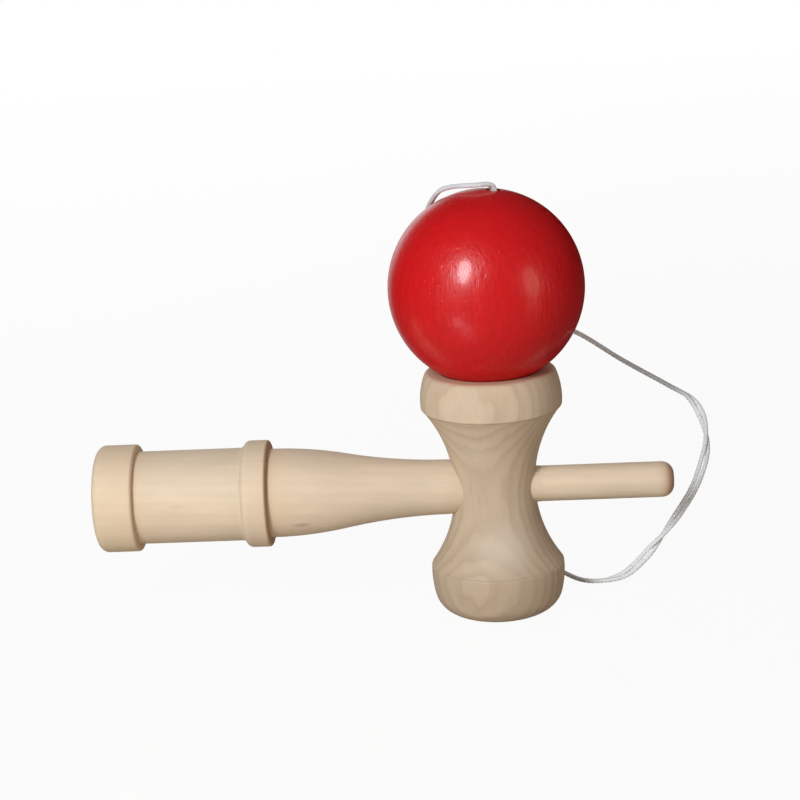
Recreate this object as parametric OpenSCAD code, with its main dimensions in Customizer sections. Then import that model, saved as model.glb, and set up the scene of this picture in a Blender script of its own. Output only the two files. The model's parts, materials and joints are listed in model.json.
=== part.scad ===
// Cup and ball toy
// A one-piece turned handle passes through a double-cup crosspiece and holds it on a taper.
// The lacquered ball rests in the large cup, and a doubled string ties it to the handle.
// X runs along the handle to the spike and Z runs up through the crosspiece.
// The origin is where the two axes cross, at the waist that the fingers hold.

/* [Ball] */
// Diameter of the ball
ball_d = 60; // [56:0.5:66]
// Diameter of the hole that catches the spike
catch_hole_d = 16; // [14:0.5:20]
// Depth of that hole, from the bottom of the ball
catch_hole_depth = 38; // [32:0.5:42]
// Width of the bevel at the mouth of that hole
catch_hole_bevel = 2.5; // [1:0.25:4]
// Angle that the resting ball is turned, with its string hole towards the spike
ball_turn = 7; // [0:0.5:9]

/* [Large cup] */
// Widest diameter of the large cup's band
large_band_d = 43.8; // [42:0.1:48]
// Height of the large cup's rim above the handle axis
large_rim_z = 37.3; // [35:0.1:42]
// Height of the band's lower edge above the handle axis
large_edge_z = 25.6; // [23:0.1:28]
// Height of the widest point of the band
large_belly_z = 28; // [26:0.1:31]
// Radius of the band's swelling
large_swell_r = 23; // [20:0.5:40]
// Radius of the round on the rim's outer edge
large_lip_r = 1.6; // [0.8:0.1:2.4]
// Diameter of the inner edge that the ball rests on
large_seat_d = 31.1; // [30:0.1:35]
// Depth of the large cup's dish
large_dish_depth = 8; // [6.5:0.1:10]

/* [Small cup] */
// Widest diameter of the small cup's band
small_band_d = 41.7; // [40:0.1:46]
// Depth of the small cup's rim below the handle axis
small_rim_z = 40.2; // [38:0.1:44]
// Depth of the band's upper edge below the handle axis
small_edge_z = 24.4; // [22:0.1:26]
// Depth of the widest point of the band
small_belly_z = 27.2; // [26:0.1:29]
// Radius of the band's swelling
small_swell_r = 30; // [26:0.5:40]
// Radius of the round on the rim's outer edge
small_lip_r = 7.5; // [5:0.1:8]
// Diameter of the dish's inner edge
small_seat_d = 24.8; // [22:0.1:25.2]
// Depth of the small cup's dish
small_dish_depth = 6; // [5:0.1:8]

/* [Waist] */
// Diameter of the waist, at the handle axis
waist_d = 25.2; // [24:0.1:28]
// Radius of the waist's hollow curve
waist_curve_r = 42; // [40:0.5:46]
// Round on the edges where the bands meet the waist
band_edge_r = 0.8; // [0.4:0.1:1.2]

/* [Handle] */
// Length of the base cup's ring
base_len = 12.7; // [12:0.1:18]
// Diameter of the base cup's ring
base_d = 33.7; // [32:0.1:38]
// Radius of the round on the base cup's rim
base_lip_r = 2.6; // [2:0.1:4.4]
// Diameter of the base dish's inner edge
base_seat_d = 25.2; // [22:0.1:25.6]
// Depth of the base dish
base_dish_depth = 6; // [5:0.1:8]
// Length of the grip between the two rings
grip_len = 32.3; // [26:0.1:40]
// Diameter of the grip
grip_d = 29.1; // [27:0.1:31]
// Length of the curve that swells from the grip to the collar
collar_curve_len = 3.4; // [3:0.1:5]
// Radius of that curve's shoulder, next to the collar
collar_shoulder_r = 2.2; // [1.8:0.1:2.4]
// Length of the collar behind that curve
collar_len = 5.8; // [5:0.1:9]
// Diameter of the collar
collar_d = 33.5; // [33:0.1:34.5]
// Round on the edges that face the spike, on the base ring and the collar
ring_edge_r = 1; // [0.4:0.1:1.4]
// Straight length of the neck next to the collar
neck_len = 0.8; // [0.4:0.1:6]
// Diameter of the neck next to the collar
neck_d = 27.8; // [26:0.1:30]
// Length of the curve that narrows the neck down to the seat
ogee_len = 54.8; // [44:0.1:60]
// Radius of that curve's shoulder, next to the neck
shoulder_r = 120; // [80:1:140]

/* [Seat and spike] */
// Length of the tapered seat, centred in the waist
seat_len = 29; // [28:0.1:32]
// Diameter of the seat's thick end
seat_d = 17.1; // [15.5:0.1:18]
// Diameter of the spike
spike_d = 11.1; // [10:0.1:12.5]
// Length of the spike beyond the seat
spike_len = 41; // [34:0.1:46]
// Radius of the round on the spike's tip
spike_tip_r = 3.8; // [2:0.1:4.4]

/* [String] */
// Diameter of each of the two strands
strand_d = 1.4; // [1.2:0.05:1.7]
// Width of the flare at the mouth of the ball's string hole
string_flare = 0.6; // [0.4:0.1:1]
// Diameter of the bead that holds the string in the ball
bead_d = 10; // [8:0.5:12]
// Length of the bead
bead_len = 9; // [7:0.5:10]
// Diameter of the knots
knot_d = 5.4; // [4.8:0.1:5.6]
// Thickness of the knots
knot_len = 3.4; // [3:0.1:3.8]

/* [Fits] */
// Radial clearance of the tapered seat in its bore
seat_fit = 0.05; // [0.02:0.01:0.1]
// Gap between the resting ball and the cup
ball_rest_gap = 0.2; // [0.1:0.05:0.4]
// Radial clearance of the string in its holes
string_fit = 0.6; // [0.4:0.05:0.8]
// Radial clearance of the string in the bead
bead_fit = 0.25; // [0.15:0.05:0.35]
// Gap between the bead and the end of its hole
bead_gap = 0.2; // [0.1:0.05:0.4]
// Radial clearance of the knot in its recess
knot_fit = 0.4; // [0.2:0.05:0.5]

/* [Hidden] */
$fn = 96;

// How far each cut runs past the face that it opens
cut = 1;
// Gap where the string is split between two nodes
string_gap = 0.1;

// Stations along the handle, from the crossing of the axes
seat_x0 = -seat_len / 2;
seat_x1 = seat_len / 2;
tip_x = seat_x1 + spike_len;
neck_x1 = seat_x0 - ogee_len;
collar_x1 = neck_x1 - neck_len;
collar_x0 = collar_x1 - collar_len;
grip_x1 = collar_x0 - collar_curve_len;
grip_x0 = grip_x1 - grip_len;
base_x0 = grip_x0 - base_len;

// Radius of the seat where the string crosses it
seat_mid_r = (seat_d + spike_d) / 4;
seat_slope = (seat_d - spike_d) / (2 * seat_len);

// The ball rests on the large cup's inner edge
ball_r = ball_d / 2;
ball_z = large_rim_z + ball_rest_gap + sqrt(ball_r * ball_r - large_seat_d * large_seat_d / 4);
ball_top_z = ball_z + ball_r;
ball_centre = [0, 0, ball_z];

// Along the ball's holes, from its centre: the end of the spike's hole, and the mouth of its bevel
hole_way = [sin(ball_turn), 0, cos(ball_turn)];
catch_end = catch_hole_depth - ball_r;
mouth_r = catch_hole_d / 2 + catch_hole_bevel;
mouth = -sqrt(ball_r * ball_r - mouth_r * mouth_r);

// The string and what it is tied to
string_r = strand_d;
string_hole_r = string_r + string_fit;
bead_middle = catch_end - bead_gap - bead_len / 2;
bead_foot = bead_middle - bead_len / 2;
recess_r = knot_d / 2 + knot_fit;
recess_y = seat_mid_r - knot_len - strand_d / 2;
tail_end_y = sqrt(seat_mid_r * seat_mid_r - string_r * string_r) - string_gap;
loop_end_y = tail_end_y + string_gap;

// Sides of the string's tube, and steps of its curve between two points of its route
tube_sides = 8;
tube_steps = 3;

// Place behind the ball where the string is split, and its direction there
split = [-15, 29, 62];
split_way = unit([0.48, 0.31, -0.82]);

// Route of the string from the bead, out of the ball and over its top to its back
over_ball_route = [
    for (place = [bead_foot, ball_r - 4, ball_r - 0.8]) ball_centre + place * hole_way,
    [3.4, -0.1, ball_top_z + 0.2], [2.7, -0.5, ball_top_z + 1.25], [1.2, -1.2, ball_top_z + 1.65],
    [-1.8, -1.8, ball_top_z + 1.6], [-5.5, 0, ball_top_z + 1.3], [-9.2, 4.1, ball_top_z + 0.4],
    [-12.7, 6.1, ball_top_z - 0.85], [-15.4, 10.2, ball_top_z - 4.2], [-17.4, 16.4, ball_top_z - 9],
    [-18.1, 22.6, ball_top_z - 15.3], split - 6 * split_way, split - 3 * split_way, split
];

// Route of the string from the back of the ball round to the waist
loop_route = [
    split + string_gap * split_way, split + 3 * split_way, split + 6 * split_way,
    [-6, 33.5, 51], [4, 34.7, 47], [16, 34.9, 44], [28, 36, 39], [42.3, 41, 28.2], [57, 45, 18.2],
    [64.5, 45, 13.2], [68, 41, 7.4], [68.6, 34, 1], [66.2, 27, -5.4], [62, 21.8, -12.7],
    [53.3, 17.7, -23.7], [43, 15.3, -34.4], [35.8, 15.6, -38.1], [27.6, 16.9, -38.75],
    [21, 21, -37.4], [12, 26.4, -33.2], [3, 27.8, -22.4], [0, 20.8, -5.6], [0, 13.6, -0.2],
    [0, 9.6, 0], [0, loop_end_y, 0]
];

// Half outlines are drawn with the radius along X and the length along Y

// Ring whose two outer corners are rounded
module ring_outline(y0, y1, r, low_r, high_r) {
    translate([0, y0 + low_r]) square([r, y1 - y0 - low_r - high_r]);
    translate([0, y0]) square([r - low_r, low_r]);
    translate([r - low_r, y0 + low_r]) mirror([0, 1]) quarter_round(low_r);
    rounded_end(y1, r, high_r);
}

// End of a round bar: its corner is rounded, and the bar goes on below it
module rounded_end(y1, r, end_r) {
    translate([0, y1 - end_r]) square([r - end_r, end_r]);
    translate([r - end_r, y1 - end_r]) quarter_round(end_r);
}

module quarter_round(r) {
    intersection() {
        circle(r);
        square([r, r]);
    }
}

// Cap of a sphere cut as a dish: its edge has radius r, and it opens along +Z
module dish(r, depth) {
    dish_r = (r * r + depth * depth) / (2 * depth);
    translate([0, 0, dish_r - depth]) sphere(dish_r);
}

// Curve from a thick bar to a thin one: a round shoulder that runs into a hollow.
// The hollow is a touch flatter than the arc that shares the shoulder's tangent, and the two overlap,
// so that they meet in a clean crossing.
module ogee_outline(length, thick_r, thin_r, shoulder_r) {
    drop = thick_r - thin_r;
    sum_r = (length * length + drop * drop) / (2 * drop);
    hollow_r = 1.002 * (sum_r - shoulder_r);
    joint_y = length * shoulder_r / sum_r;
    joint_r = thick_r - drop * shoulder_r / sum_r;
    intersection() {
        translate([thick_r - shoulder_r, 0]) circle(shoulder_r, $fn = 360);
        square([thick_r, joint_y + length / 10]);
    }
    difference() {
        translate([0, joint_y]) square([thin_r + hollow_r, length - joint_y]);
        translate([thin_r + hollow_r, length]) circle(hollow_r, $fn = 360);
    }
    square([(thin_r + joint_r) / 2, joint_y]);
}

module handle_outline() {
    ring_outline(base_x0, grip_x0, base_d / 2, base_lip_r, ring_edge_r);
    translate([0, grip_x0]) square([grip_d / 2, grip_len]);
    translate([0, collar_x0]) mirror([0, 1]) ogee_outline(
        collar_curve_len, collar_d / 2, grip_d / 2, collar_shoulder_r
    );
    translate([0, collar_x0]) square([collar_d / 2, collar_len - ring_edge_r]);
    rounded_end(collar_x1, collar_d / 2, ring_edge_r);
    translate([0, collar_x1]) square([neck_d / 2, neck_len]);
    translate([0, neck_x1]) ogee_outline(ogee_len, neck_d / 2, seat_d / 2, shoulder_r);
    polygon([[0, seat_x0], [seat_d / 2, seat_x0], [spike_d / 2, seat_x1], [0, seat_x1]]);
    translate([0, seat_x1]) square([spike_d / 2, spike_len - spike_tip_r]);
    rounded_end(tip_x, spike_d / 2, spike_tip_r);
}

// Turned handle with its base cup, grip, collar, neck, tapered seat and spike
module handle() {
    color("burlywood") difference() {
        rotate([0, 90, 0]) rotate_extrude() handle_outline();
        translate([base_x0, 0, 0]) rotate([0, -90, 0]) dish(base_seat_d / 2, base_dish_depth);
        // Cross hole for the string, and the recess for its knot
        rotate([90, 0, 0]) cylinder(h = seat_d, r = string_hole_r, center = true);
        translate([0, -recess_y, 0]) rotate([90, 0, 0]) cylinder(h = seat_d, r = recess_r);
    }
}

// Outer side of a cup: a swelling band that runs into a rounded lip at the rim
module cup_outline(band_r, edge_z, belly_z, rim_z, swell_r, lip_r) {
    swell_x = band_r - swell_r;
    lip_z = rim_z - lip_r;
    lip_x = swell_x + sqrt(pow(swell_r - lip_r, 2) - pow(lip_z - belly_z, 2));
    blend_z = belly_z + (lip_z - belly_z) * swell_r / (swell_r - lip_r);
    edge_x = swell_x + sqrt(pow(swell_r - band_edge_r, 2) - pow(edge_z + band_edge_r - belly_z, 2));
    intersection() {
        translate([swell_x, belly_z]) circle(swell_r, $fn = 180);
        translate([0, edge_z + band_edge_r]) square([band_r, blend_z - edge_z - band_edge_r]);
    }
    translate([edge_x, edge_z + band_edge_r]) circle(band_edge_r);
    translate([0, edge_z]) square([edge_x, 2 * band_edge_r]);
    intersection() {
        translate([lip_x, lip_z]) circle(lip_r);
        translate([0, blend_z]) square([band_r, rim_z]);
    }
    translate([0, edge_z]) square([lip_x, rim_z - edge_z]);
}

module crosspiece_outline() {
    difference() {
        translate([0, -small_edge_z]) square([large_band_d / 2, large_edge_z + small_edge_z]);
        translate([waist_d / 2 + waist_curve_r, 0]) circle(waist_curve_r, $fn = 360);
    }
    cup_outline(
        large_band_d / 2, large_edge_z, large_belly_z, large_rim_z, large_swell_r, large_lip_r
    );
    mirror([0, 1]) cup_outline(
        small_band_d / 2, small_edge_z, small_belly_z, small_rim_z, small_swell_r, small_lip_r
    );
}

// Bore that the handle's seat is pushed into, from its thick end
module seat_bore() {
    half = large_band_d / 2;
    rotate([0, 90, 0]) cylinder(
        h = 2 * half, r1 = seat_mid_r + seat_fit + half * seat_slope,
        r2 = seat_mid_r + seat_fit - half * seat_slope, center = true
    );
}

// Turned crosspiece with the large cup above, the small cup below and the bored waist
module crosspiece() {
    color("tan") difference() {
        rotate_extrude() crosspiece_outline();
        translate([0, 0, large_rim_z]) dish(large_seat_d / 2, large_dish_depth);
        translate([0, 0, -small_rim_z]) mirror([0, 0, 1]) dish(small_seat_d / 2, small_dish_depth);
        seat_bore();
        rotate([-90, 0, 0]) cylinder(h = large_band_d, r = string_hole_r);
    }
}

// Place of the resting ball: its holes lie along Z here
module in_ball() {
    translate(ball_centre) rotate([0, ball_turn, 0]) children();
}

// Lacquered ball with the hole for the spike below and the string hole above
module ball() {
    color("crimson") in_ball() difference() {
        sphere(ball_r);
        translate([0, 0, -ball_d]) cylinder(h = catch_end + ball_d, d = catch_hole_d);
        translate([0, 0, mouth - mouth_r]) cylinder(
            h = mouth_r + catch_hole_bevel, r1 = 2 * mouth_r, r2 = catch_hole_d / 2
        );
        translate([0, 0, catch_end - cut]) cylinder(h = ball_d, r = string_hole_r);
        // Flared mouth that lets the string lie down on the ball
        translate([0, 0, ball_r - string_flare]) cylinder(
            h = 2 * string_flare, r1 = string_hole_r, r2 = string_hole_r + 2 * string_flare
        );
    }
}

// Bead that stops the string at the inner end of the ball's hole
module bead() {
    color("wheat") in_ball() translate([0, 0, bead_middle]) difference() {
        intersection() {
            sphere(d = bead_d);
            cylinder(h = bead_len, d = bead_d + cut, center = true);
        }
        cylinder(h = bead_len + cut, r = string_r + bead_fit, center = true);
    }
}

// Tight knot: a flat-faced barrel with round sides
module knot() {
    core_r = (knot_d - knot_len) / 2;
    rotate_extrude() {
        square([core_r, knot_len]);
        translate([core_r, knot_len / 2]) {
            quarter_round(knot_len / 2);
            mirror([0, 1]) quarter_round(knot_len / 2);
        }
    }
}

module bead_knot() {
    color("white") in_ball() translate([0, 0, bead_foot - knot_len]) knot();
}

module tail_knot() {
    color("white") translate([0, -recess_y, 0]) rotate([90, 0, 0]) knot();
}

// Stretch of string that crosses the seat, from the knot to the seat's surface
module string_tail() {
    color("white") translate([0, tail_end_y, 0]) rotate([90, 0, 0]) cylinder(
        h = tail_end_y + recess_y, r = string_r
    );
}

// Smooth curve through a route's points
function spline(p0, p1, p2, p3, t) = 0.5 * (2 * p1 + (p2 - p0) * t
    + (2 * p0 - 5 * p1 + 4 * p2 - p3) * t * t + (3 * p1 - p0 - 3 * p2 + p3) * t * t * t);
function smooth(route) = let (last = len(route) - 1) [
    for (i = [0 : last - 1], k = [0 : tube_steps - 1])
        spline(route[max(i - 1, 0)], route[i], route[i + 1], route[min(i + 2, last)], k / tube_steps),
    route[last]
];
function unit(v) = v / norm(v);
function direction(path, i) = unit(path[min(i + 1, len(path) - 1)] - path[max(i - 1, 0)]);

// Side vectors of the rings, carried along the path without twisting
function sides(path, i, side) = let (
    along = direction(path, i),
    here = unit(side - along * (side * along))
) i == len(path) - 1 ? [here] : concat([here], sides(path, i + 1, here));

// Tube of radius r along a path, closed at both ends
module tube(path, r) {
    start = direction(path, 0);
    side = sides(path, 0, abs(start[0]) < 0.9 ? [1, 0, 0] : [0, 1, 0]);
    rings = len(path);
    points = [
        for (i = [0 : rings - 1], k = [0 : tube_sides - 1])
            let (turn = 360 * k / tube_sides, up = cross(direction(path, i), side[i]))
                path[i] + r * (cos(turn) * side[i] + sin(turn) * up)
    ];
    walls = [
        for (i = [0 : rings - 2], k = [0 : tube_sides - 1])
            let (a = i * tube_sides + k, b = i * tube_sides + (k + 1) % tube_sides)
                each [[a, a + tube_sides, b], [b, a + tube_sides, b + tube_sides]]
    ];
    caps = [
        for (k = [1 : tube_sides - 2])
            let (z = (rings - 1) * tube_sides)
                each [[0, k, k + 1], [z, z + k + 1, z + k]]
    ];
    polyhedron(points, concat(walls, caps));
}

// Stretch of string from the bead, out of the ball, over its top and down its back
module string_over_ball() {
    color("white") tube(smooth(over_ball_route), string_r);
}

// Stretch of string from the back of the ball round to the waist
module string_loop() {
    color("white") tube(smooth(loop_route), string_r);
}

handle();
crosspiece();
ball();
bead();
bead_knot();
string_over_ball();
string_loop();
string_tail();
tail_knot();
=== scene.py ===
"""Cup and ball toy: materials, string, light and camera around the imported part."""
import json
import math

import bpy
from mathutils import Matrix, Vector


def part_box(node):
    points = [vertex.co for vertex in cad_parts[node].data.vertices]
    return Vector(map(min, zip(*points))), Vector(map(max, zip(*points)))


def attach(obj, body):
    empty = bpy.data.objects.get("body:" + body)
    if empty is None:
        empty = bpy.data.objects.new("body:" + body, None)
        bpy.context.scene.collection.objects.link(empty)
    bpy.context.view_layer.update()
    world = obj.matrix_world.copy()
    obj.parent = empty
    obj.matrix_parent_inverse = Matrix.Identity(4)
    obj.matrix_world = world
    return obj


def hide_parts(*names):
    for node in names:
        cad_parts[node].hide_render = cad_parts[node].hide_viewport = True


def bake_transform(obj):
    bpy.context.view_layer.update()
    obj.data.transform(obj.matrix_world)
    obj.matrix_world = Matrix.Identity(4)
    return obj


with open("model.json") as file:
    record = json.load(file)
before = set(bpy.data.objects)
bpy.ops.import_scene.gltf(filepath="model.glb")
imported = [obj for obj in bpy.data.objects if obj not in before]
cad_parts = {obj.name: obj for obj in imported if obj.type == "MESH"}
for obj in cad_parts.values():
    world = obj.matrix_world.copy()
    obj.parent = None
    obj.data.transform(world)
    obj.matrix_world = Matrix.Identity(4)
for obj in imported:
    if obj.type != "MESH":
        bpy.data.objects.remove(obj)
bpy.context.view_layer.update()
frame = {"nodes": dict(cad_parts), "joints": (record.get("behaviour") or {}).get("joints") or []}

MM = 0.001
WHITE = (1, 1, 1, 1)

# Camera, at the photograph's viewing angle
CAMERA_PLACE = Vector((13.5, -624.7, 197.5)) * MM
CAMERA_AIM = Vector((-28.1, 0, 28.6)) * MM
CAMERA_ROLL = math.radians(-3.2)
CAMERA_LENS = 94.4
CAMERA_SENSOR = 36

# Floor: its colour to light and to gloss, the share of its white that takes no shadow, how far out
# in metres it fades, and how bright its bright side is to gloss
FLOOR_SIZE = 8
FLOOR_COLOUR = (0.64, 0.585, 0.505, 1)
FLOOR_IN_GLOSS = (0.06, 0.06, 0.06, 1)
FLOOR_ROUGHNESS = 0.2
FLOOR_WHITE = 0.94
FLOOR_FADE = (0.4, 1.6)
FLOOR_GLINT = 0.35

# Even light from all round, and the bright side that gloss finds at the back left: its direction,
# the cosines between which it fades in, and its strength
AMBIENT = 0.19
AMBIENT_COLOUR = (0.98, 0.98, 1, 1)
BRIGHT_WAY = (-0.3, 0.954, 0)
BRIGHT_EDGE = (0.91, 0.99)
BRIGHT_STRENGTH = 1.25

# Lamps: name, direction from the ball, distance, width and height in metres, watts, colour, and
# whether gloss shows them
LAMPS = (
    ("key", (-0.387, -0.793, 0.478), 0.8, (0.2, 0.36), 4.2, (0.92, 0.97, 1), True),
    ("side", (0.81, -0.55, 0.165), 0.95, (0.34, 0.56), 1.1, (1, 0.82, 0.66), True),
    ("back", (0.12, 0.92, 0.38), 1.2, (0.6, 0.6), 3.2, (0.95, 0.98, 1), False),
    ("fill", (-0.6, -0.8, 0.05), 1.0, (0.5, 0.5), 1.75, (1, 0.97, 0.92), False),
    ("low", (-0.492, -0.757, -0.43), 0.206, (0.035, 0.035), 0.009, (1, 1, 1), True),
)

# Wood figure: how far in millimetres the small waves of its rings reach
SMALL_WAVES = 1.3

# Bare wood: how strongly its streaks, slow shades and flecks show, how high the lathe's marks stand
# against its fibres, its bump's strength and depth, and its shine
WOOD_STREAKS = 0.75
WOOD_SHADES = 0.8
WOOD_FLECKS = 0.16
WOOD_MARKS = 0.5
WOOD_BUMP = (0.22, 0.1 * MM)
WOOD_SPECULAR = 0.35

# Marks in the wood: pin knots, the spike's rubbed tip, a painted sheen low on the crosspiece's front
# and a paler place on its big cup, and rings grown tan
PIN_KNOT = (0.42, 0.23, 0.12, 1)
SPIKE_TIP = (0.66, 0.41, 0.28, 1)
SHEEN_AND_PALE = (0.76, 0.645, 0.54, 1)
TANNED = (0.79, 0.585, 0.38, 1)

# Lacquer: its colour, how strongly the wood's streaks and rings show through it, its shine, the
# heights of brush lines and dents against its slow ripple, its bump's strength and depth, where the
# gloss is worn, in shares of the ball's radius along the hole, and the share of it left there
LACQUER_RED = (0.67, 0.0075, 0.0095, 1)
LACQUER_STREAKS = 0.7
LACQUER_RINGS = 0.8
LACQUER_SPECULAR = 0.38
LACQUER_COAT = 0.4
LACQUER_COAT_ROUGHNESS = 0.16
BRUSH_LINES = 1.6
DENTS = -0.75
LACQUER_BUMP = (0.65, 0.14 * MM)
WORN_EDGE = (-0.72, -0.48)
WORN_GLOSS = 0.12

# Cotton, and how white it is by share of a span from the bead: greyer where it runs on the ball and
# behind it, and darker on the run past the ball up to its bend, a painted shadow of the ball
COTTON_WHITE = (0.88, 0.895, 0.91, 1)
COTTON_BUMP = (0.3, 0.1 * MM)
STRING_SPAN = 400 * MM
SHADE_ALONG_STRING = [(0.1, 0.87), (0.2, 0.75), (0.36, 1.0), (0.42, 0.85), (0.455, 0.6), (0.48, 1.0)]

# String: two strands wound loosely round each other, each of three plies
STRAND_R = 0.74 * MM
STRAND_SIDES = 18
PLY_COUNT = 3
PLY_LENGTH = 4.2 * MM
PLY_GROOVE = 0.16
PLY_FULLNESS = 0.6
RING_STEP = 0.35 * MM
ROUTE_STEPS = 16
KNOT_STEPS = 96
KNOT_WAVE = 0.38

# How the pair lies: millimetres from the bead, degrees about the middle line, and millimetres
# from that line to the middle of each strand
PAIR_LAY = (
    (0, -90, 0.70), (34, -55, 0.70), (47, -53, 0.70), (55, -80, 0.70), (143, -145, 0.70),
    (188, -143, 0.70), (196, -56, 0.80), (205, 24, 0.70), (216, 101, 0.84), (236, 112, 0.74),
    (244, 188, 0.70), (251, 279, 0.84), (258, 290, 0.80), (268, 369, 0.70), (281, 377, 0.70),
    (343, 400, 0.70),
)

# Places that the frame gives
ball_low, ball_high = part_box("ball")
ball_r = (ball_high[0] - ball_low[0]) / 2
joints = {joint["name"]: joint for joint in frame["joints"]}
ball_centre = Vector(joints["ball_spin"]["pos_m"])
ball_top = ball_centre.z + ball_r
hole_way = Vector(joints["ball_spin"]["axis"]).normalized()
floor_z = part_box("crosspiece")[0][2]
tail_low, tail_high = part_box("string_tail")
loop_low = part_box("string_loop")[0]


# Shader helpers

FLOAT = "NodeSocketFloat"
VECTOR = "NodeSocketVector"


def set_inputs(node, values):
    """Give a node's inputs their values, or link them where the value is a socket."""
    for name, value in values.items():
        if isinstance(value, bpy.types.NodeSocket):
            node.id_data.links.new(value, node.inputs[name])
        else:
            node.inputs[name].default_value = value
    return node


def add_node(tree, kind, inputs=None, **settings):
    node = tree.nodes.new(kind)
    for name, value in settings.items():
        setattr(node, name, value)
    return set_inputs(node, inputs or {})


def add_math(tree, operation, *values):
    return add_node(
        tree, "ShaderNodeMath", dict(enumerate(values)), operation=operation
    ).outputs[0]


def add_vector_math(tree, operation, *values):
    node = add_node(
        tree, "ShaderNodeVectorMath", dict(enumerate(values)), operation=operation
    )
    return node.outputs["Value" if operation in ("LENGTH", "DOT_PRODUCT") else "Vector"]


def add_scaled(tree, vector, factor):
    return add_node(
        tree, "ShaderNodeVectorMath", {0: vector, "Scale": factor}, operation="SCALE"
    ).outputs["Vector"]


def add_mix(tree, blend, factor, first, second):
    """Mix of two colours."""
    node = add_node(tree, "ShaderNodeMix", data_type="RGBA", blend_type=blend)
    return set_inputs(node, {0: factor, 6: first, 7: second}).outputs[2]


def add_blend(tree, factor, first, second):
    """Mix of two numbers."""
    node = add_node(tree, "ShaderNodeMix", data_type="FLOAT")
    return set_inputs(node, {0: factor, 2: first, 3: second}).outputs[0]


def add_noise(tree, place, scale, detail, roughness=0.5):
    return add_node(tree, "ShaderNodeTexNoise", {
        "Vector": place, "Scale": scale, "Detail": detail, "Roughness": roughness,
    }).outputs


def add_map_range(tree, value, start, end, to=(0.0, 1.0), kind="LINEAR"):
    """Value taken from the range start to end into the range to, and held at its ends."""
    return add_node(tree, "ShaderNodeMapRange", {
        "Value": value, "From Min": start, "From Max": end, "To Min": to[0], "To Max": to[1],
    }, interpolation_type=kind).outputs[0]


def add_bump(tree, height, bump):
    strength, distance = bump
    return add_node(tree, "ShaderNodeBump", {
        "Height": height, "Strength": strength, "Distance": distance,
    }).outputs[0]


def add_ramp(tree, factor, stops):
    """Grey ramp through stops of place and shade."""
    node = add_node(tree, "ShaderNodeValToRGB", {"Fac": factor})
    ramp = node.color_ramp
    while len(ramp.elements) < len(stops):
        ramp.elements.new(1.0)
    for element, (place, shade) in zip(ramp.elements, stops):
        element.position = place
        element.color = (shade, shade, shade, 1)
    return node.outputs["Color"]


def new_group(name, inputs, outputs):
    """Shader group with named sockets: (name, kind, default) in, (name, kind) out."""
    group = bpy.data.node_groups.new(name, "ShaderNodeTree")
    for socket, kind, default in inputs:
        item = group.interface.new_socket(socket, in_out="INPUT", socket_type=kind)
        if default is not None:
            item.default_value = default
    for socket, kind in outputs:
        group.interface.new_socket(socket, in_out="OUTPUT", socket_type=kind)
    return group, group.nodes.new("NodeGroupInput"), group.nodes.new("NodeGroupOutput")


def new_material(name):
    material = bpy.data.materials.new(name)
    material.use_nodes = True
    return material, material.node_tree, material.node_tree.nodes["Principled BSDF"]


# Materials

def build_wood_figure():
    """Solid wood: rings about the Z axis of the pattern, fibres and flecks along it."""
    group, given, result = new_group(
        "wood_figure",
        [("Place", VECTOR, None), ("Ring Width", FLOAT, 3.0), ("Waviness", FLOAT, 3.0)],
        [("Rings", FLOAT), ("Fibres", FLOAT), ("Flecks", FLOAT), ("Cloud", FLOAT)],
    )
    place = add_scaled(group, given.outputs["Place"], 1 / MM)

    # Growth rings, drawn out of true by a slow noise and then by a quicker, smaller one
    slow = add_vector_math(group, "MULTIPLY", place, (1, 1, 0.35))
    bent = place
    for noise, reach in (
        (add_noise(group, slow, scale=0.045, detail=4.0, roughness=0.58), given.outputs["Waviness"]),
        (add_noise(group, slow, scale=0.3, detail=2.0), SMALL_WAVES),
    ):
        sway = add_vector_math(group, "SUBTRACT", noise["Color"], (0.5, 0.5, 0.5))
        bent = add_vector_math(group, "ADD", bent, add_scaled(group, sway, reach))
    radius = add_vector_math(group, "LENGTH", add_vector_math(group, "MULTIPLY", bent, (1, 1, 0)))
    turns = add_math(group, "DIVIDE", radius, given.outputs["Ring Width"])
    rings = add_ramp(
        group, add_math(group, "FRACT", turns),
        [(0.0, 0.15), (0.3, 0.0), (0.7, 0.75), (0.85, 1.0), (1.0, 0.15)],
    )

    # Fine fibres, long flecks and slow changes of colour
    thin = add_vector_math(group, "MULTIPLY", place, (1, 1, 0.03))
    fibres = add_noise(group, thin, scale=2.4, detail=4.0, roughness=0.6)["Fac"]
    dashes = add_vector_math(group, "MULTIPLY", place, (1, 1, 0.28))
    flecks = add_noise(group, dashes, scale=1.5, detail=1.0, roughness=0.4)["Fac"]
    flecks = add_ramp(group, flecks, [(0.0, 0.0), (0.64, 0.0), (0.72, 1.0)])
    cloud = add_noise(group, slow, scale=0.07, detail=3.0, roughness=0.55)["Fac"]
    set_inputs(result, {"Rings": rings, "Fibres": fibres, "Flecks": flecks, "Cloud": cloud})
    return group


def add_figure(tree, figure, place, ring_width, waviness):
    wood = tree.nodes.new("ShaderNodeGroup")
    wood.node_tree = figure
    set_inputs(wood, {"Place": place, "Ring Width": ring_width, "Waviness": waviness})
    return wood.outputs


def add_patch(tree, place, centre, half_size):
    """From 1 at a place to 0 at the edge of a soft oval round it."""
    away = add_vector_math(tree, "SUBTRACT", place, Vector(centre) * MM)
    away = add_vector_math(tree, "DIVIDE", away, Vector(half_size) * MM)
    away = add_vector_math(tree, "LENGTH", away)
    return add_map_range(tree, away, 1.0, 0.0, kind="SMOOTHSTEP")


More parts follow.
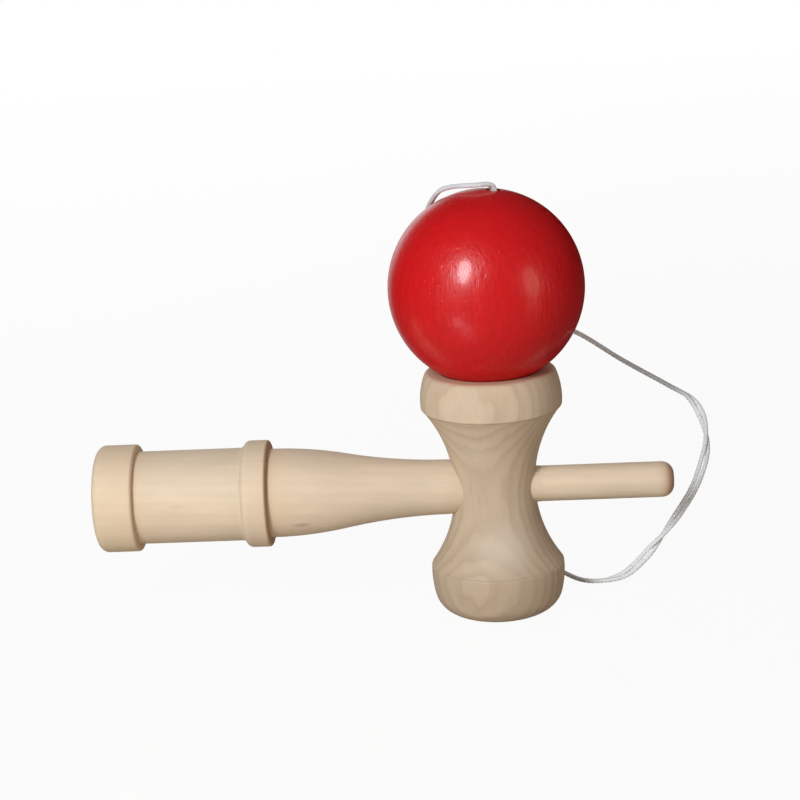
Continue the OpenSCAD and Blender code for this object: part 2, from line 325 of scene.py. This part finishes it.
def build_wood(
    name, figure, pale, dark, end, grain_turn, pith, ring_width, waviness, ring_depth,
    lathe_axis, end_stops, end_shade_lean=0.0, end_fade=None, fade=None, patches=(),
):
    """Bare turned wood whose grain runs along lathe_axis.

    A fade is two places in millimetres along that axis, and the shares at them. A patch is a centre
    and half size in millimetres, a strength and a colour.
    """
    material, tree, shader = new_material(name)
    where = tree.nodes.new("ShaderNodeTexCoord").outputs
    turned = add_node(
        tree, "ShaderNodeMapping", {"Vector": where["Object"], "Rotation": grain_turn}
    ).outputs[0]
    offset = add_vector_math(tree, "ADD", turned, pith)
    wood = add_figure(tree, figure, offset, ring_width, waviness)
    along = add_vector_math(tree, "DOT_PRODUCT", where["Object"], lathe_axis)

    def share_along(stops):
        start, stop, *shares = stops
        return add_map_range(tree, along, start * MM, stop * MM, shares)

    # Colour: rings, then streaks along the fibres, slow changes of shade, flecks and patches
    strong = add_ramp(tree, wood["Cloud"], [(0.35, 0.4), (0.65, 1.2)])
    depth = add_math(tree, "MULTIPLY", wood["Rings"], strong)
    depth = add_math(tree, "MULTIPLY", depth, ring_depth)
    colour = add_mix(tree, "MIX", depth, pale, dark)
    streak = add_ramp(tree, wood["Fibres"], [(0.3, 0.955), (0.7, 1.025)])
    colour = add_mix(tree, "MULTIPLY", WOOD_STREAKS, colour, streak)
    shade = add_ramp(tree, wood["Cloud"], [(0.3, 0.86), (0.7, 1.06)])
    colour = add_mix(tree, "MULTIPLY", WOOD_SHADES, colour, shade)
    if fade:
        colour = add_mix(tree, "MULTIPLY", 1.0, colour, share_along(fade))
    fleck = add_math(tree, "MULTIPLY", wood["Flecks"], WOOD_FLECKS)
    colour = add_mix(tree, "MIX", fleck, colour, dark)
    for centre, half_size, strength, stain in patches:
        patch = add_patch(tree, where["Object"], centre, half_size)
        patch = add_math(tree, "MULTIPLY", patch, strength)
        colour = add_mix(tree, "MIX", patch, colour, stain)

    # End grain is darker: fully on faces to the far end, and less by the lean given on those to the
    # other.
    # On the handle that lean is painted shade: the end faces toward the spike, turned from the key
    # lamp, get the full dark.
    facing = add_vector_math(tree, "DOT_PRODUCT", where["Normal"], lathe_axis)
    away = add_math(tree, "MULTIPLY_ADD", facing, -1.0, -end_shade_lean)
    end_grain_and_shade = add_ramp(tree, add_math(tree, "MAXIMUM", facing, away), end_stops)
    if end_fade:
        end_grain_and_shade = add_math(tree, "MULTIPLY", end_grain_and_shade, share_along(end_fade))
    colour = add_mix(tree, "MIX", end_grain_and_shade, colour, end)

    # Tool marks of the lathe and open pores stand in the surface
    marks = add_node(
        tree, "ShaderNodeTexNoise", {"W": along, "Scale": 2600.0, "Detail": 2.0}, noise_dimensions="1D"
    ).outputs["Fac"]
    height = add_math(tree, "MULTIPLY", marks, WOOD_MARKS)
    height = add_math(tree, "ADD", height, wood["Fibres"])
    set_inputs(shader, {
        "Base Color": colour,
        "Roughness": add_ramp(tree, wood["Fibres"], [(0.25, 0.5), (0.75, 0.66)]),
        "Normal": add_bump(tree, height, WOOD_BUMP),
        "Specular IOR Level": WOOD_SPECULAR,
    })
    return material


def build_lacquer(figure):
    """Red gloss lacquer, thin enough for the grain to show, with brush lines and small dents."""
    material, tree, shader = new_material("red_lacquer_gloss")
    where = tree.nodes.new("ShaderNodeTexCoord").outputs["Object"]
    place = add_vector_math(tree, "ADD", where, (30 * MM, 90 * MM, 0))
    wood = add_figure(tree, figure, place, ring_width=3.0, waviness=4.0)
    thick = add_ramp(tree, wood["Fibres"], [(0.3, 0.95), (0.7, 1.03)])
    colour = add_mix(tree, "MULTIPLY", LACQUER_STREAKS, LACQUER_RED, thick)
    deep = add_ramp(tree, wood["Rings"], [(0.0, 1.02), (1.0, 0.95)])
    colour = add_mix(tree, "MULTIPLY", LACQUER_RINGS, colour, deep)

    # A slow ripple, upright brush lines and small dents stand in the surface
    ripple = add_noise(tree, where, scale=260.0, detail=2.0)["Fac"]
    tall = add_vector_math(tree, "MULTIPLY", where, (1, 1, 0.05))
    brushed = add_noise(tree, tall, scale=1000.0, detail=2.0, roughness=0.6)["Fac"]
    height = add_math(tree, "MULTIPLY_ADD", brushed, BRUSH_LINES, ripple)
    knocks = add_noise(tree, where, scale=620.0, detail=1.0, roughness=0.4)["Fac"]
    dents = add_ramp(tree, knocks, [(0.64, 0.0), (0.74, 1.0)])
    height = add_math(tree, "MULTIPLY_ADD", dents, DENTS, height)

    # The gloss is worn off round the spike hole, where the ball lands
    out = add_vector_math(tree, "SUBTRACT", where, ball_centre)
    out = add_vector_math(tree, "DOT_PRODUCT", out, hole_way)
    start, stop = (share * ball_r for share in WORN_EDGE)
    unworn = add_map_range(tree, out, start, stop, (WORN_GLOSS, 1.0), "SMOOTHSTEP")
    set_inputs(shader, {
        "Base Color": colour,
        "Roughness": add_ramp(tree, ripple, [(0.3, 0.33), (0.7, 0.4)]),
        "Normal": add_bump(tree, height, LACQUER_BUMP),
        "Specular IOR Level": add_math(tree, "MULTIPLY", unworn, LACQUER_SPECULAR),
        "Coat Weight": add_math(tree, "MULTIPLY", unworn, LACQUER_COAT),
        "Coat Roughness": LACQUER_COAT_ROUGHNESS,
    })
    return material


def build_cotton():
    """White cotton: fibres run round each strand with its lay."""
    material, tree, shader = new_material("white_cotton")
    lay = add_node(tree, "ShaderNodeUVMap", uv_map="lay").outputs[0]
    drawn = add_vector_math(tree, "MULTIPLY", lay, (60.0, 7.0, 1.0))
    fibres = add_noise(tree, drawn, scale=3.0, detail=4.0)["Fac"]
    slow = add_noise(tree, lay, scale=1.5, detail=2.0)["Fac"]
    along = add_node(tree, "ShaderNodeSeparateXYZ", {"Vector": lay}).outputs["X"]
    along = add_math(tree, "MULTIPLY", along, PLY_LENGTH / STRING_SPAN)
    colour = COTTON_WHITE
    for shade in (
        add_ramp(tree, fibres, [(0.3, 0.94), (0.7, 1.03)]),
        add_ramp(tree, slow, [(0.35, 0.94), (0.65, 1.0)]),
        # Greyer on and behind the ball, and a painted shadow of the ball on the run past it
        add_ramp(tree, along, SHADE_ALONG_STRING),
    ):
        colour = add_mix(tree, "MULTIPLY", 1.0, colour, shade)
    set_inputs(shader, {
        "Base Color": colour,
        "Roughness": 0.9,
        "Normal": add_bump(tree, fibres, COTTON_BUMP),
        "Sheen Weight": 0.3,
    })
    return material


wood_figure = build_wood_figure()
handle_wood = build_wood(
    "handle_wood_bare", wood_figure,
    # The dark end colour on the end faces toward the spike, turned from the key lamp, is partly
    # painted shade
    pale=(0.84, 0.675, 0.495, 1), dark=(0.74, 0.56, 0.385, 1), end=(0.40, 0.225, 0.135, 1),
    grain_turn=(0, math.radians(88), 0), pith=(46 * MM, 30 * MM, 0),
    ring_width=3.4, waviness=4.0, ring_depth=0.3,
    lathe_axis=(1, 0, 0), end_stops=[(0.3, 0.0), (1.0, 0.9)], end_shade_lean=0.45,
    end_fade=(-108, -95, 0.3, 1.0), fade=(-85, -35, 1.0, 0.945),
    patches=[
        ((-116, 0, 0), (15, 60, 60), 0.6, TANNED),
        ((-69, 0, 0), (10, 60, 60), 0.6, TANNED),
        ((54.9, 0, 0), (5.2, 20, 20), 0.95, SPIKE_TIP),
        ((-59.8, -11.9, -7.3), (4, 2, 1.3), 0.6, PIN_KNOT),
        ((-97.8, -14.5, 1.2), (3.2, 1.5, 0.5), 0.2, PIN_KNOT),
        ((-84, 9, 10), (3, 1.5, 1), 0.5, PIN_KNOT),
        ((-36, 3, -9), (2, 1.2, 0.8), 0.4, PIN_KNOT),
    ],
)
crosspiece_wood = build_wood(
    "crosspiece_wood_bare", wood_figure,
    pale=(0.70, 0.54, 0.385, 1), dark=(0.51, 0.37, 0.24, 1), end=(0.62, 0.465, 0.325, 1),
    grain_turn=(math.radians(2), math.radians(-3), 0), pith=(-21 * MM, -66 * MM, 0),
    ring_width=2.6, waviness=7.0, ring_depth=0.5,
    lathe_axis=(0, 0, 1), end_stops=[(0.6, 0.0), (1.0, 0.6)], fade=(-30, 25, 0.84, 1.0),
    patches=[
        # Painted sheen: the large pale patch low on the front stands in for a cool sheen of light; the
        # smaller one makes the big cup paler there
        ((3.5, -15.5, -15.5), (13, 10, 12), 0.55, SHEEN_AND_PALE),
        ((-3.5, -12, 15.5), (8, 7, 7), 0.3, SHEEN_AND_PALE),
        ((-7.2, -10.3, 1.8), (0.6, 1.2, 2.4), 0.35, PIN_KNOT),
        ((-4.6, -11.7, -1.4), (0.6, 1.2, 2), 0.25, PIN_KNOT),
        ((9, 13, 21), (0.8, 1.5, 2.2), 0.4, PIN_KNOT),
    ],
)
bead_wood = build_wood(
    "bead_wood_bare", wood_figure,
    pale=(0.74, 0.58, 0.41, 1), dark=(0.56, 0.40, 0.26, 1), end=(0.44, 0.29, 0.18, 1),
    grain_turn=(0, 0, 0), pith=(12 * MM, 0, 0),
    ring_width=2.0, waviness=2.0, ring_depth=0.5,
    lathe_axis=(0, 0, 1), end_stops=[(0.45, 0.0), (0.98, 0.85)],
)
lacquer = build_lacquer(wood_figure)
cotton = build_cotton()


def finish_node(name, material):
    slots = frame["nodes"][name].data.materials
    slots.clear()
    slots.append(material)


finish_node("handle", handle_wood)
finish_node("crosspiece", crosspiece_wood)
finish_node("ball", lacquer)
finish_node("bead", bead_wood)


# String

def string_route():
    """Points of the string's middle line, from the bead through to the waist."""
    top = ball_top / MM
    in_ball = [ball_centre / MM + place * hole_way for place in (-1.2, 26, 29.2)]
    over_ball = [
        (3.4, -0.1, top + 0.2), (2.7, -0.5, top + 1.25), (1.2, -1.2, top + 1.65),
        (-1.8, -1.8, top + 1.6), (-5.5, 0, top + 1.3), (-9.2, 4.1, top + 0.4),
        (-12.7, 6.1, top - 0.85), (-15.4, 10.2, top - 4.2), (-17.4, 16.4, top - 9),
        (-18.1, 22.6, top - 15.3),
    ]
    split = Vector((-15, 29, 62))
    split_way = Vector((0.48, 0.31, -0.82)).normalized()
    behind_ball = [split + step * split_way for step in (-6, -3, 0, 3, 6)]
    loop = [
        (-6, 33.5, 51), (4, 34.7, 47), (16, 34.9, 44), (28, 36, 39), (42.3, 41, 28.2),
        (57, 45, 18.2), (64.5, 45, 13.2), (68, 41, 7.4), (68.6, 34, 1), (66.2, 27, -5.4),
        (62, 21.8, -12.7), (53.3, 17.7, -23.7), (43, 15.3, -34.4), (35.8, 15.6, -38.1),
        (27.6, 16.9, -38.75), (21, 21, -37.4), (12, 26.4, -33.2), (3, 27.8, -22.4),
        (0, 20.8, -5.6), (0, 13.6, -0.2), (0, 9.6, 0), (0, loop_low[1] / MM, 0),
    ]
    return [Vector(point) * MM for point in in_ball + over_ball + behind_ball + loop]


def smooth(points, steps):
    """Smooth curve through the points, with steps parts to each stretch."""
    curve = []
    last = len(points) - 1
    for i in range(last):
        p0, p1 = points[max(i - 1, 0)], points[i]
        p2, p3 = points[i + 1], points[min(i + 2, last)]
        for k in range(steps):
            t = k / steps
            curve.append(0.5 * (
                2 * p1 + (p2 - p0) * t + (2 * p0 - 5 * p1 + 4 * p2 - p3) * t ** 2
                + (3 * p1 - p0 - 3 * p2 + p3) * t ** 3
            ))
    return curve + [points[last]]


def even(points, step):
    """The same curve with its points about step apart, and the length of the curve."""
    lengths = [0.0]
    for a, b in zip(points, points[1:]):
        lengths.append(lengths[-1] + (b - a).length)
    count = max(2, round(lengths[-1] / step))
    result = []
    i = 0
    for k in range(count + 1):
        goal = lengths[-1] * k / count
        while i < len(points) - 2 and lengths[i + 1] < goal:
            i += 1
        share = (goal - lengths[i]) / (lengths[i + 1] - lengths[i])
        result.append(points[i].lerp(points[i + 1], min(share, 1.0)))
    return result, lengths[-1]


def side_vectors(points, side):
    """Two side vectors at each point, carried along without twisting."""
    result = []
    last = len(points) - 1
    for i in range(len(points)):
        along = (points[min(i + 1, last)] - points[max(i - 1, 0)]).normalized()
        side = (side - along * side.dot(along)).normalized()
        result.append((side, along.cross(side)))
    return result


def add_strand(points, first_side, mesh_data):
    """Strand of plies swept along the points, closed at both ends."""
    verts, faces, lay = mesh_data
    base = len(verts)
    step = (points[1] - points[0]).length
    for i, (point, (side, up)) in enumerate(zip(points, side_vectors(points, first_side))):
        ply_turn = 2 * math.pi * i * step / PLY_LENGTH
        for k in range(STRAND_SIDES):
            turn = 2 * math.pi * k / STRAND_SIDES
            lobe = abs(math.cos(PLY_COUNT * (turn - ply_turn) / 2))
            radius = STRAND_R * (1 - PLY_GROOVE + PLY_GROOVE * lobe ** PLY_FULLNESS)
            verts.append(point + radius * (math.cos(turn) * side + math.sin(turn) * up))
            lay.append((i * step / PLY_LENGTH, (turn - ply_turn) / (2 * math.pi) * PLY_COUNT))
    rings = len(points)
    for i in range(rings - 1):
        for k in range(STRAND_SIDES):
            a = base + i * STRAND_SIDES + k
            b = base + i * STRAND_SIDES + (k + 1) % STRAND_SIDES
            faces.append((a, b, b + STRAND_SIDES, a + STRAND_SIDES))
    last = base + (rings - 1) * STRAND_SIDES
    faces.append(tuple(base + k for k in reversed(range(STRAND_SIDES))))
    faces.append(tuple(last + k for k in range(STRAND_SIDES)))


def pair_lay(place):
    """Turn and half width of the pair at a place along the string, between the listed places."""
    along = min(place / MM, PAIR_LAY[-1][0])
    for (start, *first), (end, *second) in zip(PAIR_LAY, PAIR_LAY[1:]):
        if along <= end:
            share = (along - start) / (end - start)
            turn, half_width = (a + (b - a) * share for a, b in zip(first, second))
            return math.radians(turn), half_width * MM


def add_pair(middle, mesh_data):
    """Two strands that lie against each other and turn slowly about the middle line."""
    step = (middle[1] - middle[0]).length
    sides = side_vectors(middle, Vector((1, 0, 0)))
    for half_turn in (0, math.pi):
        strand = []
        for i, (point, (side, up)) in enumerate(zip(middle, sides)):
            turn, half_width = pair_lay(i * step)
            turn += half_turn
            strand.append(point + half_width * (math.cos(turn) * side + math.sin(turn) * up))
        add_strand(strand, Vector((0, 1, 0)), mesh_data)


def strand_piece(name, add, *line):
    """Cotton piece of what add makes along a line."""
    verts, faces, lay = mesh_data = ([], [], [])
    add(*line, mesh_data)
    mesh = bpy.data.meshes.new(name)
    mesh.from_pydata(verts, [], faces)
    uv = mesh.uv_layers.new(name="lay")
    for loop in mesh.loops:
        uv.data[loop.index].uv = lay[loop.vertex_index]
    mesh.polygons.foreach_set("use_smooth", [True] * len(mesh.polygons))
    mesh.materials.append(cotton)
    piece = bpy.data.objects.new(name, mesh)
    bpy.context.scene.collection.objects.link(piece)
    return piece


def make_string(on_it):
    """The free string; the pieces that are on it are not used."""
    route = string_route()
    middle, length = even(smooth(route, ROUTE_STEPS), RING_STEP)
    piece = strand_piece("string", add_pair, middle)
    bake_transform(piece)
    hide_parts("string_over_ball", "string_loop")


def make_tail():
    """Stretch of string in the seat's cross hole."""
    middle_x = (tail_low[0] + tail_high[0]) / 2
    middle_z = (tail_low[2] + tail_high[2]) / 2
    ends = [Vector((middle_x, y, middle_z)) for y in (tail_low[1], tail_high[1])]
    middle, _ = even(ends, RING_STEP)
    piece = strand_piece("tail", add_pair, middle)
    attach(piece, "handle")
    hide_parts("string_tail")
    return piece


def make_knot(name, node, body, axis):
    """Overhand knot of the strand, drawn tight; both knots have the size of the seat's recess."""
    low, high = (Vector(corner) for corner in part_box(node))
    centre = (low + high) / 2
    recess_low, recess_high = (Vector(corner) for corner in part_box("tail_knot"))
    size = recess_high - recess_low
    end_grain_and_shade = max(size) / 2 - STRAND_R
    thick = min(size) / 2 - STRAND_R
    turn = Vector((0, 0, 1)).rotation_difference(Vector(axis)).to_matrix()
    points = []
    for k in range(KNOT_STEPS + 1):
        t = 2 * math.pi * k / KNOT_STEPS
        ring = end_grain_and_shade * (1 - KNOT_WAVE + KNOT_WAVE * math.cos(3 * t))
        local = Vector((ring * math.cos(2 * t), ring * math.sin(2 * t), thick * math.sin(3 * t)))
        points.append(centre + turn @ local)
    middle, _ = even(points, RING_STEP)
    piece = strand_piece(name, add_strand, middle, Vector((0.3, 0.5, 0.8)))
    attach(piece, body)
    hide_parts(node)
    return piece


make_string(on_it=[
    frame["nodes"]["bead"],
    make_knot("knot_under_bead", "bead_knot", "string_end", hole_way),
    make_tail(),
    make_knot("knot_in_seat", "tail_knot", "handle", (0, 1, 0)),
])


# Floor, light and camera

def add_ray_kinds(tree):
    """Whether the camera sees a place directly, and whether it is seen in gloss."""
    path = tree.nodes.new("ShaderNodeLightPath").outputs
    mirrored = add_math(tree, "MAXIMUM", path["Is Glossy Ray"], path["Is Transmission Ray"])
    return path["Is Camera Ray"], mirrored


def add_bright_side(tree, direction):
    """Rises from 0 as a direction turns to the back left, where gloss finds something bright."""
    way = add_vector_math(tree, "NORMALIZE", direction)
    facing = add_vector_math(tree, "DOT_PRODUCT", way, BRIGHT_WAY)
    return add_map_range(tree, facing, *BRIGHT_EDGE, (0.0, BRIGHT_STRENGTH), "SMOOTHSTEP")


def make_floor():
    """Pale floor: white to the camera, and in gloss white at the back left and dark elsewhere."""
    bpy.ops.object.select_all(action="DESELECT")
    bpy.ops.mesh.primitive_plane_add(size=FLOOR_SIZE, location=(0, 0, floor_z))
    floor = bpy.context.object
    floor.name = "floor"
    material, tree, shader = new_material("pale_floor")
    where = tree.nodes.new("ShaderNodeTexCoord").outputs["Object"]
    direct, mirrored = add_ray_kinds(tree)
    colour = add_mix(tree, "MIX", mirrored, FLOOR_COLOUR, FLOOR_IN_GLOSS)
    set_inputs(shader, {"Base Color": colour, "Roughness": FLOOR_ROUGHNESS})
    bright = add_math(tree, "MULTIPLY", mirrored, add_bright_side(tree, where))
    bright = add_math(tree, "MULTIPLY", bright, FLOOR_GLINT)
    seen = add_math(tree, "MAXIMUM", direct, bright)
    reach = add_vector_math(tree, "LENGTH", where)
    white = add_map_range(tree, reach, *FLOOR_FADE, (FLOOR_WHITE, 1.0))
    glow = add_node(tree, "ShaderNodeEmission", {"Color": WHITE, "Strength": 1.0})
    mix = add_node(tree, "ShaderNodeMixShader", {
        0: add_math(tree, "MULTIPLY", seen, white), 1: shader.outputs[0], 2: glow.outputs[0],
    })
    set_inputs(tree.nodes["Material Output"], {"Surface": mix.outputs[0]})
    floor.data.materials.append(material)


def make_world():
    """White to the camera, and to gloss at the back left; a low even light to the rest."""
    world = bpy.data.worlds.new("studio")
    bpy.context.scene.world = world
    world.use_nodes = True
    tree = world.node_tree
    where = tree.nodes.new("ShaderNodeTexCoord").outputs["Generated"]
    direct, mirrored = add_ray_kinds(tree)
    strength = add_blend(tree, mirrored, AMBIENT, add_bright_side(tree, where))
    strength = add_blend(tree, direct, strength, 1.0)
    colour = add_mix(tree, "MIX", direct, AMBIENT_COLOUR, WHITE)
    set_inputs(tree.nodes["Background"], {"Color": colour, "Strength": strength})


def add_lamp(name, direction, distance, size, power, colour, in_gloss):
    """Oval lamp that faces the ball from a direction, unseen by the camera."""
    direction = Vector(direction).normalized()
    turn = (-direction).to_track_quat("-Z", "Y").to_euler()
    place = ball_centre + distance * direction
    bpy.ops.object.light_add(type="AREA", location=place, rotation=turn)
    lamp = bpy.context.object
    lamp.name = name
    lamp.data.shape = "ELLIPSE"
    lamp.data.size, lamp.data.size_y = size
    lamp.data.energy = power
    lamp.data.color = colour
    lamp.visible_camera = False
    lamp.visible_glossy = in_gloss


def make_camera():
    direction = CAMERA_AIM - CAMERA_PLACE
    level = direction.to_track_quat("-Z", "Y").to_matrix()
    turn = level @ Matrix.Rotation(CAMERA_ROLL, 3, "Z")
    bpy.ops.object.camera_add(location=CAMERA_PLACE, rotation=turn.to_euler())
    camera = bpy.context.object
    camera.data.sensor_width = CAMERA_SENSOR
    camera.data.lens = CAMERA_LENS
    bpy.context.scene.camera = camera


make_floor()
make_world()
for lamp in LAMPS:
    add_lamp(*lamp)
make_camera()
bpy.context.scene.view_settings.view_transform = "Standard"
